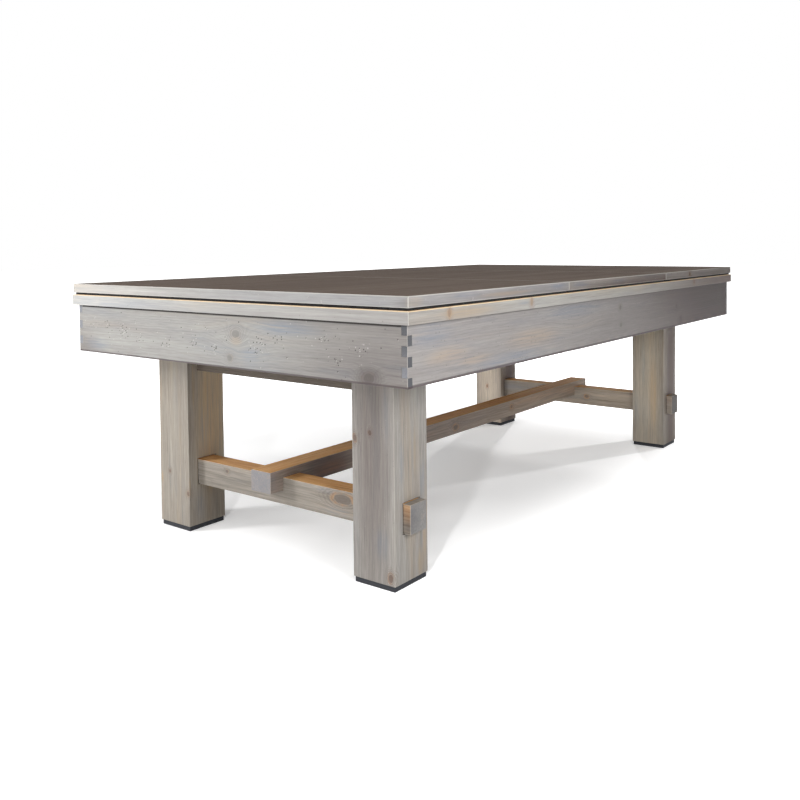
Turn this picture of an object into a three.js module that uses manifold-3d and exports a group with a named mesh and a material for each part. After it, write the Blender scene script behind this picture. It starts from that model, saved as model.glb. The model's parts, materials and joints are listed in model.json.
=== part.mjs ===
// Pool table closed by a three-panel dining cover, in millimetres.
// +X runs along the table, +Y across it, +Z up; the origin is on the floor under the middle.
import * as THREE from 'three';
import { RoundedBoxGeometry } from 'three/addons/geometries/RoundedBoxGeometry.js';
import { mergeVertices } from 'three/addons/utils/BufferGeometryUtils.js';
import Module from 'manifold-3d';

const wasm = await Module();
wasm.setup();

// Playing field
const playLength = 2235;      // cushion nose to cushion nose, along X
const playWidth = 1118;       // cushion nose to cushion nose, along Y
const bedHeight = 767;        // top of the bed cloth above the floor
const clothThickness = 0.7;
const slateThickness = 25;
const slateMargin = 80;       // slate beyond the nose line
const slateCount = 3;

// Rails and cushions
const railReach = 165;        // nose line to the outer edge of the rail
const railRise = 40;          // rail top above the bed cloth
const railThickness = 35;     // the part of the rail that hangs over the apron
const railSeat = 60;          // width of the thicker part that stands on the slate
const cushionDepth = 50;      // nose line to the inner edge of the rail
const noseRise = 36.5;        // cushion nose above the bed cloth
const noseRadius = 2.5;
const rubberDepth = 30;
const rubberHeight = 27;
const subrailFoot = 14;       // width of the cushion where it stands on the bed
const cushionDrop = 0.6;      // cushion top below the rail top

// Pockets
const pocketRadius = 56;      // inside the mouth
const pocketFloorRadius = 47; // outside, at the bottom
const pocketWall = 3;
const pocketDepth = 108;      // inside floor below the bed cloth
const pocketClear = 0.6;      // between the pocket and the hole that it hangs in
const pocketLipDrop = 3;      // lip below the slate top
const linerDrop = 3;          // liner below the rail top
const cornerMouth = 127;      // between the cushion noses
const sideMouth = 137;
const cornerSetback = 22;     // pocket centre beyond both nose lines
const sideSetback = 62;
const cornerFacing = 142;     // degrees between the nose line and the cushion's cut end
const sideFacing = 104;

// Apron
const apronThickness = 19;
const apronHeight = 158;
const apronFingers = 6;
const railOverhang = 15;

// Bed frame
const bedBeamWidth = 70;
const bedBeamHeight = 50;
const joistWidth = 60;
const joistHeight = 45;

// Legs and feet
const legSize = 153;
const legEndInset = 180;      // apron's outer face to the leg's outer face, along X
const legSideInset = 189;     // the same along Y
const footInset = 3.5;
const footHeight = 16;

// Stretchers
const stretcherWidth = 74;
const stretcherHeight = 84;
const stretcherLift = 157;    // underside above the floor
const stretcherReach = 25;    // through tenon beyond the leg
const mortiseSide = 1.2;
const mortiseHead = 2.5;
const mortiseRelief = 3.5;    // round relief in the mortise's lower corners
const crossRailLift = 545;
const tenonShoulder = 10;
const tenonLength = 45;
const spineWidth = 86;
const spineHeight = 67;
const spineNotch = 41;        // how deep it sits in the stretchers
const spineOverrun = 54;      // beyond the stretcher's outer face

// Cover
const coverThickness = 29.5;
const coverInset = 1.5;       // cover's edge inside the rail's outer edge
const coverPanels = 3;
const coverSeam = 0.8;
const feltThickness = 6.4;
const feltWidth = 60;
const feltInset = 6;

// Bolts
const boltRadius = 6;
const boltClear = 0.3;
const boltHeadRadius = 10.9;
const boltHeadHeight = 7.5;
const counterboreRadius = 14;
const counterboreDepth = 9;
const legBoltGrip = 90;       // depth of the bolt in the leg
const spineBoltGrip = 44;     // depth of the bolt in the centre beam

// Making
const fit = 0.3;              // gap between pieces that touch
const arris = 1.4;            // rounding of the outer edges
const fingerArris = 0.5;
const overcut = 10;           // how far a cutter runs past what it cuts
const roundSteps = 24;

// Heights
const railTop = bedHeight + railRise;
const railUnderside = railTop - railThickness;
const bedSeat = bedHeight + fit;
const apronBottom = railUnderside - fit - apronHeight;
const slateTop = bedHeight - clothThickness - fit;
const slateBottom = slateTop - slateThickness;
const joistBottom = slateBottom - fit - joistHeight;
const bedBeamBottom = joistBottom - fit - bedBeamHeight;
const bedBeamTop = bedBeamBottom + bedBeamHeight;
const legTop = bedBeamBottom - fit;
const legBottom = footHeight + fit;
const feltBottom = railTop + fit;
const coverBottom = feltBottom + feltThickness + fit;
const stretcherTop = stretcherLift + stretcherHeight;
const notchFloor = stretcherTop - spineNotch;
const spineBottom = notchFloor + fit;

// Plan
const railHalf = { x: playLength / 2 + railReach, y: playWidth / 2 + railReach };
const apronHalf = { x: railHalf.x - railOverhang, y: railHalf.y - railOverhang };
const insideHalf = { x: apronHalf.x - apronThickness - fit, y: apronHalf.y - apronThickness - fit };
const slateHalf = { x: playLength / 2 + slateMargin, y: playWidth / 2 + slateMargin };
const coverHalf = { x: railHalf.x - coverInset, y: railHalf.y - coverInset };
const legX = apronHalf.x - legEndInset - legSize / 2;
const legY = apronHalf.y - legSideInset - legSize / 2;
const slateSeamX = slateHalf.x / slateCount;
const holeRadius = pocketRadius + pocketWall + pocketClear;

const table = new THREE.Group();

// Finishes

const finishes = {
  rail: { color: new THREE.Color(0xb3afa8), roughness: 0.7, metalness: 0 },
  apron: { color: new THREE.Color(0x9d9893), roughness: 0.72, metalness: 0 },
  leg: { color: new THREE.Color(0x8f877d), roughness: 0.72, metalness: 0 },
  stretcher: { color: new THREE.Color(0x94765a), roughness: 0.7, metalness: 0 },
  cover: { color: new THREE.Color(0x635a52), roughness: 0.6, metalness: 0 },
  framePine: { color: new THREE.Color(0xc9ab7c), roughness: 0.8, metalness: 0 },
  slate: { color: new THREE.Color(0x4d5256), roughness: 0.6, metalness: 0 },
  cloth: { color: new THREE.Color(0x2f6b4c), roughness: 0.95, metalness: 0 },
  leather: { color: new THREE.Color(0x3a2a20), roughness: 0.6, metalness: 0 },
  felt: { color: new THREE.Color(0x202124), roughness: 1, metalness: 0 },
  foot: { color: new THREE.Color(0x2a2d31), roughness: 0.8, metalness: 0 },
  steel: { color: new THREE.Color(0x8d9094), roughness: 0.35, metalness: 1 },
};

function add(name, finish, geometry, x = 0, y = 0, z = 0, turn = 0) {
  const mesh = new THREE.Mesh(geometry, new THREE.MeshStandardMaterial(finishes[finish]));
  mesh.name = name;
  mesh.position.set(x, y, z);
  mesh.rotation.z = turn;
  table.add(mesh);
  return mesh;
}

// Solids

function solid(geometry) {
  const bare = geometry.clone();
  bare.deleteAttribute('normal');
  bare.deleteAttribute('uv');
  const welded = mergeVertices(bare);
  const vertProperties = new Float32Array(welded.attributes.position.array);
  const triVerts = new Uint32Array(welded.index.array);
  return new wasm.Manifold(new wasm.Mesh({ numProp: 3, vertProperties, triVerts }));
}

function shell(body) {
  const mesh = body.getMesh();
  const geometry = new THREE.BufferGeometry();
  geometry.setAttribute('position', new THREE.BufferAttribute(mesh.vertProperties, 3));
  geometry.setIndex(new THREE.BufferAttribute(mesh.triVerts, 1));
  geometry.computeVertexNormals();
  return geometry;
}

function cut(geometry, cutters) {
  return shell(cutters.reduce((body, cutter) => body.subtract(solid(cutter)), solid(geometry)));
}

// A board with rounded edges, standing on z = 0.
function board(length, width, height, round = arris) {
  return new RoundedBoxGeometry(length, width, height, 1, round).translate(0, 0, height / 2);
}

// A cutting block from (x0, y0, z0) to (x1, y1, z1).
function block([x0, y0, z0], [x1, y1, z1]) {
  const box = new THREE.BoxGeometry(x1 - x0, y1 - y0, z1 - z0);
  return box.translate((x0 + x1) / 2, (y0 + y1) / 2, (z0 + z1) / 2);
}

// An upright round bar from z0 to z1.
function bar(radius, z0, z1, sides = roundSteps) {
  const cylinder = new THREE.CylinderGeometry(radius, radius, z1 - z0, sides);
  return cylinder.rotateX(Math.PI / 2).translate(0, 0, (z0 + z1) / 2);
}

// A flat plate from a plan outline, from z0 to z1.
function plate(points, z0, z1) {
  const shape = new THREE.Shape(points.map(([x, y]) => new THREE.Vector2(x, y)));
  const body = new THREE.ExtrudeGeometry(shape, { depth: z1 - z0, bevelEnabled: false });
  return body.translate(0, 0, z0);
}

// A strip of one section along X: the section's first axis points to +Y and its second to +Z.
function strip(section, length) {
  const body = new THREE.ExtrudeGeometry(section, { depth: length, bevelEnabled: false, curveSegments: 2 });
  const axes = new THREE.Matrix4().makeBasis(
    new THREE.Vector3(0, 1, 0), new THREE.Vector3(0, 0, 1), new THREE.Vector3(1, 0, 0));
  return body.translate(0, 0, -length / 2).applyMatrix4(axes);
}

// The four sides of the table as seen from its middle: each looks outward along its own +Y.
const sides = {
  left: { turn: 0, noseHalf: playLength / 2, out: playWidth / 2, long: true },
  right: { turn: Math.PI, noseHalf: playLength / 2, out: playWidth / 2, long: true },
  head: { turn: Math.PI / 2, noseHalf: playWidth / 2, out: playLength / 2, long: false },
  foot: { turn: -Math.PI / 2, noseHalf: playWidth / 2, out: playLength / 2, long: false },
};

function addToSide(name, finish, geometry, side) {
  const x = -Math.sin(side.turn) * side.out;
  const y = Math.cos(side.turn) * side.out;
  return add(name, finish, geometry, x, y, 0, side.turn);
}

// Pocket holes along one side, seen from its nose line.
function sidePocketHoles(side) {
  const hole = () => bar(holeRadius, bedHeight - overcut, railTop + overcut);
  const holes = [-1, 1].map((end) => hole().translate(end * (side.noseHalf + cornerSetback), cornerSetback, 0));
  if (side.long) holes.push(hole().translate(0, sideSetback, 0));
  return holes;
}

// Rails: one section all round, mitred at the corners and cut for the pockets

function railSection() {
  const section = new THREE.Shape();
  section.moveTo(cushionDepth, bedSeat);
  section.lineTo(cushionDepth + railSeat, bedSeat);
  section.lineTo(cushionDepth + railSeat, railUnderside);
  section.lineTo(railReach - arris, railUnderside);
  section.absarc(railReach - arris, railUnderside + arris, arris, -Math.PI / 2, 0, false);
  section.lineTo(railReach, railTop - arris);
  section.absarc(railReach - arris, railTop - arris, arris, 0, Math.PI / 2, false);
  section.lineTo(cushionDepth, railTop);
  section.closePath();
  return section;
}

function rail(side) {
  const mitre = fit * Math.SQRT1_2;
  const end = (y) => side.noseHalf + y - mitre;
  const plan = [
    [-end(0), 0], [end(0), 0],
    [end(railReach + overcut), railReach + overcut], [-end(railReach + overcut), railReach + overcut],
  ];
  const length = 2 * (side.noseHalf + railReach + overcut);
  const mitred = solid(strip(railSection(), length))
    .intersect(solid(plate(plan, bedHeight - overcut, railTop + overcut)));
  return cut(shell(mitred), sidePocketHoles(side));
}

// Cushions: rubber nose on a wooden sub-rail, all under one cloth

function cushionSection() {
  const back = cushionDepth - fit;
  const top = railTop - cushionDrop;
  const noseTop = bedHeight + noseRise;
  const section = new THREE.Shape();
  section.moveTo(back, bedSeat);
  section.lineTo(back, top);
  section.lineTo(rubberDepth, top);
  section.lineTo(noseRadius, noseTop + noseRadius);
  section.absarc(noseRadius, noseTop, noseRadius, Math.PI / 2, 1.25 * Math.PI, false);
  section.lineTo(rubberDepth, top - rubberHeight);
  section.lineTo(cushionDepth - subrailFoot, bedSeat);
  section.closePath();
  return section;
}

// from and to are the nose's ends; each end's facing is given in degrees.
function cushion(side, from, fromFacing, to, toFacing) {
  const spread = (facing) => cushionDepth / Math.tan(THREE.MathUtils.degToRad(180 - facing));
  const plan = [[from, 0], [to, 0], [to + spread(toFacing), cushionDepth], [from - spread(fromFacing), cushionDepth]];
  const length = 2 * (side.noseHalf + railReach);
  const trimmed = solid(strip(cushionSection(), length))
    .intersect(solid(plate(plan, bedHeight - overcut, railTop + overcut)));
  return cut(shell(trimmed), sidePocketHoles(side));
}

function addRailsAndCushions() {
  const cornerNose = cornerMouth * Math.SQRT1_2;
  for (const [name, side] of Object.entries(sides)) {
    addToSide(`rail_${name}`, 'rail', rail(side), side);
    const end = side.noseHalf - cornerNose;
    if (!side.long) {
      addToSide(`cushion_${name}`, 'cloth', cushion(side, -end, cornerFacing, end, cornerFacing), side);
      continue;
    }
    const gap = sideMouth / 2;
    addToSide(`cushion_${name}_a`, 'cloth', cushion(side, -end, cornerFacing, -gap, sideFacing), side);
    addToSide(`cushion_${name}_b`, 'cloth', cushion(side, gap, sideFacing, end, cornerFacing), side);
  }
}

// Pockets: where each one is, and which way it faces away from the table's middle

function pocketPlaces() {
  const cornerX = playLength / 2 + cornerSetback;
  const cornerY = playWidth / 2 + cornerSetback;
  const sideY = playWidth / 2 + sideSetback;
  return [
    { name: 'head_left', x: -cornerX, y: cornerY, facing: 0.75 * Math.PI, corner: true },
    { name: 'head_right', x: -cornerX, y: -cornerY, facing: -0.75 * Math.PI, corner: true },
    { name: 'foot_left', x: cornerX, y: cornerY, facing: 0.25 * Math.PI, corner: true },
    { name: 'foot_right', x: cornerX, y: -cornerY, facing: -0.25 * Math.PI, corner: true },
    { name: 'side_left', x: 0, y: sideY, facing: 0.5 * Math.PI, corner: false },
    { name: 'side_right', x: 0, y: -sideY, facing: -0.5 * Math.PI, corner: false },
  ];
}

// Half of the arc on which the liner stands against the rails.
function linerHalfAngle(corner) {
  const outer = pocketRadius + pocketWall;
  const toRail = cushionDepth - (corner ? cornerSetback : sideSetback);
  const edge = Math.asin(toRail / outer);
  return (corner ? 0.75 : 0.5) * Math.PI - edge;
}

function bucketProfile() {
  const outer = pocketRadius + pocketWall;
  const floor = bedHeight - pocketDepth;
  const round = 3 * pocketWall;
  const lip = slateTop - pocketLipDrop;
  const top = railTop - linerDrop;
  return [
    [0, floor - pocketWall], [pocketFloorRadius - round, floor - pocketWall],
    [pocketFloorRadius, floor + round - pocketWall], [outer, lip], [outer, top],
    [pocketRadius, top], [pocketRadius, lip],
    [pocketFloorRadius - pocketWall, floor + round], [pocketFloorRadius - round, floor], [0, floor],
  ].map(([r, z]) => new THREE.Vector2(r, z));
}

// A leather bucket whose wall carries on up as a liner, open towards the playing field.
function pocket(place) {
  const bucket = new THREE.LatheGeometry(bucketProfile(), roundSteps).rotateX(Math.PI / 2);
  const half = Math.PI - linerHalfAngle(place.corner);
  const far = 2 * holeRadius / Math.cos(half / 2);
  const inward = place.facing + Math.PI;
  const ray = (angle) => [far * Math.cos(angle), far * Math.sin(angle)];
  const mouth = [[0, 0], ray(inward - half), ray(inward), ray(inward + half)];
  return cut(bucket, [plate(mouth, slateTop - pocketLipDrop, railTop + overcut)]);
}

function addPockets() {
  for (const place of pocketPlaces()) {
    add(`pocket_${place.name}`, 'leather', pocket(place), place.x, place.y);
  }
}

// A round-ended slot from a pocket's centre out past the edge of the slate.
function pocketSlots(z0, z1) {
  const far = 2 * slateMargin;
  return pocketPlaces().flatMap(({ x, y, facing }) => {
    const slot = block([0, -holeRadius, z0], [far, holeRadius, z1]).rotateZ(facing).translate(x, y, 0);
    return [bar(holeRadius, z0, z1).translate(x, y, 0), slot];
  });
}

// Slate bed and its cloth

function addBed() {
  const pieceLength = 2 * slateHalf.x / slateCount;
  for (let i = 0; i < slateCount; i += 1) {
    const x = (i - (slateCount - 1) / 2) * pieceLength;
    const half = (pieceLength - fit) / 2;
    const slab = block([x - half, -slateHalf.y, slateBottom], [x + half, slateHalf.y, slateTop]);
    add(`slate_${i + 1}`, 'slate', cut(slab, pocketSlots(slateBottom - overcut, slateTop + overcut)));
  }
  const clothBottom = bedHeight - clothThickness;
  const sheet = block([-slateHalf.x, -slateHalf.y, clothBottom], [slateHalf.x, slateHalf.y, bedHeight]);
  add('bed_cloth', 'cloth', cut(sheet, pocketSlots(clothBottom - overcut, bedHeight + overcut)));
}

// Apron: four boards finger-jointed at the corners

function fingerBoard(halfLength, isFull) {
  const pitch = apronHeight / apronFingers;
  const short = halfLength - apronThickness - fit;
  const level = (i) => {
    if (i === 0 || i === apronFingers) return i * pitch;
    return i * pitch + (isFull(i) ? fit / 2 : -fit / 2);
  };
  const end = [];
  for (let i = 0; i < apronFingers; i += 1) {
    const x = isFull(i) ? halfLength : short;
    end.push([x, level(i)], [x, level(i + 1)]);
  }
  const outline = [...end, ...end.map(([x, z]) => [-x, z]).reverse()];
  const shape = new THREE.Shape(outline.map(([x, z]) => new THREE.Vector2(x, z)));
  const edges = { bevelSize: fingerArris, bevelThickness: fingerArris, bevelOffset: -fingerArris, bevelSegments: 1 };
  const body = new THREE.ExtrudeGeometry(shape, { depth: apronThickness - 2 * fingerArris, ...edges });
  return body.translate(0, 0, fingerArris - apronThickness).rotateX(Math.PI / 2);
}

function addApron() {
  const longEnd = (i) => i % 2 === 1;
  const shortEnd = (i) => i % 2 === 0;
  const y = apronHalf.y - apronThickness;
  const x = apronHalf.x - apronThickness;
  add('apron_left', 'apron', fingerBoard(apronHalf.x, longEnd), 0, y, apronBottom);
  add('apron_right', 'apron', fingerBoard(apronHalf.x, longEnd), 0, -y, apronBottom, Math.PI);
  add('apron_head', 'apron', fingerBoard(apronHalf.y, shortEnd), -x, 0, apronBottom, Math.PI / 2);
  add('apron_foot', 'apron', fingerBoard(apronHalf.y, shortEnd), x, 0, apronBottom, -Math.PI / 2);
}

// Bed frame: two beams along the table on the legs, and joists across them

function addBedFrame() {
  const ends = [-legX, legX];
  const beam = board(2 * insideHalf.x, bedBeamWidth, bedBeamHeight);
  const seat = bedBeamHeight - counterboreDepth;
  const cutters = ends.flatMap((x) => [
    bar(boltRadius + boltClear, -overcut, bedBeamHeight).translate(x, 0, 0),
    bar(counterboreRadius, seat, bedBeamHeight + overcut).translate(x, 0, 0),
  ]);
  add('bed_beam_left', 'framePine', cut(beam, cutters), 0, legY, bedBeamBottom);
  add('bed_beam_right', 'framePine', cut(beam, cutters), 0, -legY, bedBeamBottom);
  [-legX, -slateSeamX, slateSeamX, legX].forEach((x, i) => {
    add(`bed_joist_${i + 1}`, 'framePine', board(joistWidth, 2 * insideHalf.y, joistHeight), x, 0, joistBottom);
  });
}

// Legs, with a through mortise for the lower stretcher and a blind one for the cross rail

const corners = [
  { name: 'head_left', x: -legX, y: legY, turn: 0 },
  { name: 'head_right', x: -legX, y: -legY, turn: Math.PI },
  { name: 'foot_left', x: legX, y: legY, turn: 0 },
  { name: 'foot_right', x: legX, y: -legY, turn: Math.PI },
];

function leg() {
  const post = board(legSize, legSize, legTop - legBottom, arris);
  const throughHalf = stretcherWidth / 2 + mortiseSide;
  const through = block(
    [-throughHalf, -legSize, stretcherLift - fit - legBottom],
    [throughHalf, legSize, stretcherTop + mortiseHead - legBottom]);
  const relief = (side) => bar(mortiseRelief, -legSize, legSize, 10).rotateX(Math.PI / 2)
    .translate(side * throughHalf, 0, stretcherLift - fit - legBottom);
  const blindHalf = stretcherWidth / 2 - tenonShoulder + fit;
  const blind = block(
    [-blindHalf, -legSize, crossRailLift + tenonShoulder - fit - legBottom],
    [blindHalf, tenonLength + fit - legSize / 2, legTop - tenonShoulder + fit - legBottom]);
  const boltDepth = legTop - legBottom - legBoltGrip - boltRadius;
  return cut(post, [through, relief(-1), relief(1), blind, bar(boltRadius + boltClear, boltDepth, legTop)]);
}

function addLegs() {
  for (const corner of corners) {
    add(`leg_${corner.name}`, 'leg', leg(), corner.x, corner.y, legBottom, corner.turn);
    const footSize = legSize - 2 * footInset;
    add(`foot_pad_${corner.name}`, 'foot', board(footSize, footSize, footHeight), corner.x, corner.y);
  }
}

// Stretchers: one through both legs of each end, a cross rail above it, and the centre beam

function endStretcher() {
  const length = 2 * (legY + legSize / 2 + stretcherReach);
  const notchHalf = spineWidth / 2 + fit;
  const notch = block(
    [-stretcherWidth, -notchHalf, notchFloor - stretcherLift], [stretcherWidth, notchHalf, stretcherTop]);
  return cut(board(stretcherWidth, length, stretcherHeight), [
    notch,
    bar(boltRadius + boltClear, -overcut, stretcherHeight),
    bar(counterboreRadius, -overcut, counterboreDepth),
  ]);
}

function crossRail() {
  const height = legTop - crossRailLift;
  const innerHalf = legY - legSize / 2 - fit;
  const body = solid(board(stretcherWidth, 2 * innerHalf, height));
  const tenonHalf = innerHalf + tenonLength - fit;
  const cheek = stretcherWidth / 2 - tenonShoulder;
  const tenons = block([-cheek, -tenonHalf, tenonShoulder], [cheek, tenonHalf, height - tenonShoulder]);
  return shell(body.add(solid(tenons)));
}

function centreBeam() {
  const half = legX + stretcherWidth / 2 + spineOverrun;
  const hole = () => bar(boltRadius + boltClear, -overcut, spineBoltGrip + boltRadius);
  const holes = [-legX, legX].map((x) => hole().translate(x, 0, 0));
  return cut(board(2 * half, spineWidth, spineHeight), holes);
}

function addStretchers() {
  for (const [name, x] of [['head', -legX], ['foot', legX]]) {
    add(`end_stretcher_${name}`, 'stretcher', endStretcher(), x, 0, stretcherLift);
    add(`cross_rail_${name}`, 'leg', crossRail(), x, 0, crossRailLift);
  }
  add('centre_beam', 'stretcher', centreBeam(), 0, 0, spineBottom);
}

// Bolts, standing head up with the underside of the head at z = 0

function bolt(shankLength) {
  const head = solid(bar(boltHeadRadius, 0, boltHeadHeight, 6));
  return shell(head.add(solid(bar(boltRadius, -shankLength, boltHeadHeight / 2))));
}

function addBolts() {
  const headSeat = bedBeamTop - counterboreDepth + fit;
  const legShank = headSeat - (legTop - legBoltGrip);
  for (const corner of corners) {
    add(`leg_bolt_${corner.name}`, 'steel', bolt(legShank), corner.x, corner.y, headSeat);
  }
  const lowSeat = stretcherLift + counterboreDepth - fit;
  const spineShank = spineBottom + spineBoltGrip - lowSeat;
  for (const [name, x] of [['head', -legX], ['foot', legX]]) {
    add(`beam_bolt_${name}`, 'steel', bolt(spineShank).rotateX(Math.PI), x, 0, lowSeat);
  }
}

// Cover: three panels with felt strips that lie on the rails

function addCover() {
  const panelPitch = 2 * coverHalf.x / coverPanels;
  const panelLength = panelPitch - coverSeam;
  const feltY = coverHalf.y - feltInset - feltWidth / 2;
  const feltX = coverHalf.x - feltInset - feltWidth / 2;
  const sideStrap = board(panelLength - 2 * feltInset, feltWidth, feltThickness);
  for (let i = 0; i < coverPanels; i += 1) {
    const x = (i - (coverPanels - 1) / 2) * panelPitch;
    const panel = board(panelLength, 2 * coverHalf.y, coverThickness);
    add(`cover_panel_${i + 1}`, 'cover', panel, x, 0, coverBottom);
    add(`cover_felt_${i + 1}_left`, 'felt', sideStrap, x, feltY, feltBottom);
    add(`cover_felt_${i + 1}_right`, 'felt', sideStrap, x, -feltY, feltBottom);
  }
  const endStrap = board(feltWidth, 2 * feltY - feltWidth - 2 * fit, feltThickness);
  add('cover_felt_head', 'felt', endStrap, -feltX, 0, feltBottom);
  add('cover_felt_foot', 'felt', endStrap, feltX, 0, feltBottom);
}

addLegs();
addStretchers();
addBedFrame();
addApron();
addBed();
addPockets();
addRailsAndCushions();
addCover();
addBolts();

export default table;
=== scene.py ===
# Pool table under a three-panel dining cover: finishes, soft parts, floor, light and camera
import json
import math

import bmesh
import bpy
from mathutils import Matrix, Vector


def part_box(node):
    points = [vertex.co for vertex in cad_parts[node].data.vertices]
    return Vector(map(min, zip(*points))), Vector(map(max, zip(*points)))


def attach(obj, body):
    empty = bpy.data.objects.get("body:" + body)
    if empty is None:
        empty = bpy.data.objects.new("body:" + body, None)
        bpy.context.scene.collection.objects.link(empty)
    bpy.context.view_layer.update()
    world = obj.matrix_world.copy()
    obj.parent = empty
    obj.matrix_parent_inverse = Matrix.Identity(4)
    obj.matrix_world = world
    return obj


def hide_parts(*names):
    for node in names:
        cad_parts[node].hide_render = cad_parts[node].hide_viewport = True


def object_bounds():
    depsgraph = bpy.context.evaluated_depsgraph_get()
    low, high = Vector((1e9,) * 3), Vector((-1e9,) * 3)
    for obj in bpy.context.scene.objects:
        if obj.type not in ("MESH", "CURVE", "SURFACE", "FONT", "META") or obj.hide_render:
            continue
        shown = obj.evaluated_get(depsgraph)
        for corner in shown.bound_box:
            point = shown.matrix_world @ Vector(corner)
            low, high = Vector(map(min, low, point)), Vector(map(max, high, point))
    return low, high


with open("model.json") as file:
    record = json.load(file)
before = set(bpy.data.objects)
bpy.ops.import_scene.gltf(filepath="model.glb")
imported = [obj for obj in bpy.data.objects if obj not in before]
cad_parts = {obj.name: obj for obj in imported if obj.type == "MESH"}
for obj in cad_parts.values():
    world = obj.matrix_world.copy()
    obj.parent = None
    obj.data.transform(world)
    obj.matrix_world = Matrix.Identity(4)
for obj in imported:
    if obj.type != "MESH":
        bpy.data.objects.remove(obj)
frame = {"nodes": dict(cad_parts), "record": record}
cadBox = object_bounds()
print("frame loaded:", len(frame["nodes"]), "nodes")


def tone(code):
    # a colour written as on screen, such as "b9b5ae", in Blender's linear values
    values = [int(code[i:i + 2], 16) / 255 for i in (0, 2, 4)]
    return tuple(v / 12.92 if v <= 0.04045 else ((v + 0.055) / 1.055) ** 2.4 for v in values) + (1.0,)


class Wire:
    # a node's output that takes part in sums
    def __init__(self, finish, socket):
        self.finish = finish
        self.socket = socket

    def also(self, name):
        return Wire(self.finish, self.socket.node.outputs[name])

    def maths(self, operation, *values):
        return self.finish.node("Math", {"operation": operation}, dict(enumerate(values)))

    def __add__(self, other):
        return self.maths("ADD", self, other)

    def __radd__(self, other):
        return self.maths("ADD", other, self)

    def __sub__(self, other):
        return self.maths("SUBTRACT", self, other)

    def __rsub__(self, other):
        return self.maths("SUBTRACT", other, self)

    def __mul__(self, other):
        return self.maths("MULTIPLY", self, other)

    def __rmul__(self, other):
        return self.maths("MULTIPLY", other, self)

    def __truediv__(self, other):
        return self.maths("DIVIDE", self, other)

    def __rtruediv__(self, other):
        return self.maths("DIVIDE", other, self)

    def fraction(self):
        return self.maths("FRACT", self)

    def sine(self):
        return self.maths("SINE", self)

    def absolute(self):
        return self.maths("ABSOLUTE", self)

    def least(self, other):
        return self.maths("MINIMUM", self, other)

    def most(self, other):
        return self.maths("MAXIMUM", self, other)

    def smooth(self, start, end):
        places = {"Value": self, "From Min": start, "From Max": end}
        return self.finish.node("MapRange", {"interpolation_type": "SMOOTHSTEP"}, places)


class Finish:
    # the nodes of a material or of the world
    def __init__(self, owner):
        owner.use_nodes = True
        self.owner = owner
        self.tree = owner.node_tree
        self.tree.nodes.clear()

    def node(self, kind, settings=None, sockets=None, take=0):
        made = self.tree.nodes.new("ShaderNode" + kind)
        for name, value in (settings or {}).items():
            if name == "stops":
                self.setStops(made.color_ramp, value)
            else:
                setattr(made, name, value)
        for key, value in (sockets or {}).items():
            if isinstance(value, Wire):
                self.tree.links.new(value.socket, made.inputs[key])
            else:
                made.inputs[key].default_value = value
        return Wire(self, made.outputs[take])

    def setStops(self, colourRamp, stops):
        while len(colourRamp.elements) < len(stops):
            colourRamp.elements.new(0.5)
        for element, (place, code) in zip(colourRamp.elements, stops):
            element.position = place
            element.color = tone(code)

    def place(self):
        return self.node("TexCoord", take="Object")

    def facing(self):
        return self.node("TexCoord", take="Normal")

    def vector(self, operation, *values, take=0):
        return self.node("VectorMath", {"operation": operation}, dict(enumerate(values)), take)

    def split(self, vector):
        first = self.node("SeparateXYZ", sockets={0: vector})
        return [first, first.also("Y"), first.also("Z")]

    def noise(self, vector, scale, detail, rough=0.5, stretch=None):
        if stretch is not None:
            vector = self.vector("MULTIPLY", vector, stretch)
        sockets = {"Vector": vector, "Scale": scale, "Detail": detail, "Roughness": rough}
        return self.node("TexNoise", sockets=sockets)

    def ramp(self, stops, amount):
        return self.node("ValToRGB", {"stops": stops}, {"Fac": amount})

    def mix(self, first, second, amount, way="MIX"):
        settings = {"data_type": "RGBA", "blend_type": way}
        return self.node("Mix", settings, {0: amount, 6: first, 7: second}, take=2)

    def bump(self, height, distance, strength):
        return self.node("Bump", sockets={"Height": height, "Distance": distance, "Strength": strength})

    def coat(self, sockets):
        return self.close(self.node("BsdfPrincipled", sockets=sockets))

    def close(self, surface, kind="Material"):
        output = self.tree.nodes.new("ShaderNodeOutput" + kind)
        self.tree.links.new(surface.socket, output.inputs["Surface"])
        return self.owner


def newFinish(name):
    return Finish(bpy.data.materials.new(name))


def paint(node, material):
    frame["nodes"][node].material_slots[0].material = material


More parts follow.
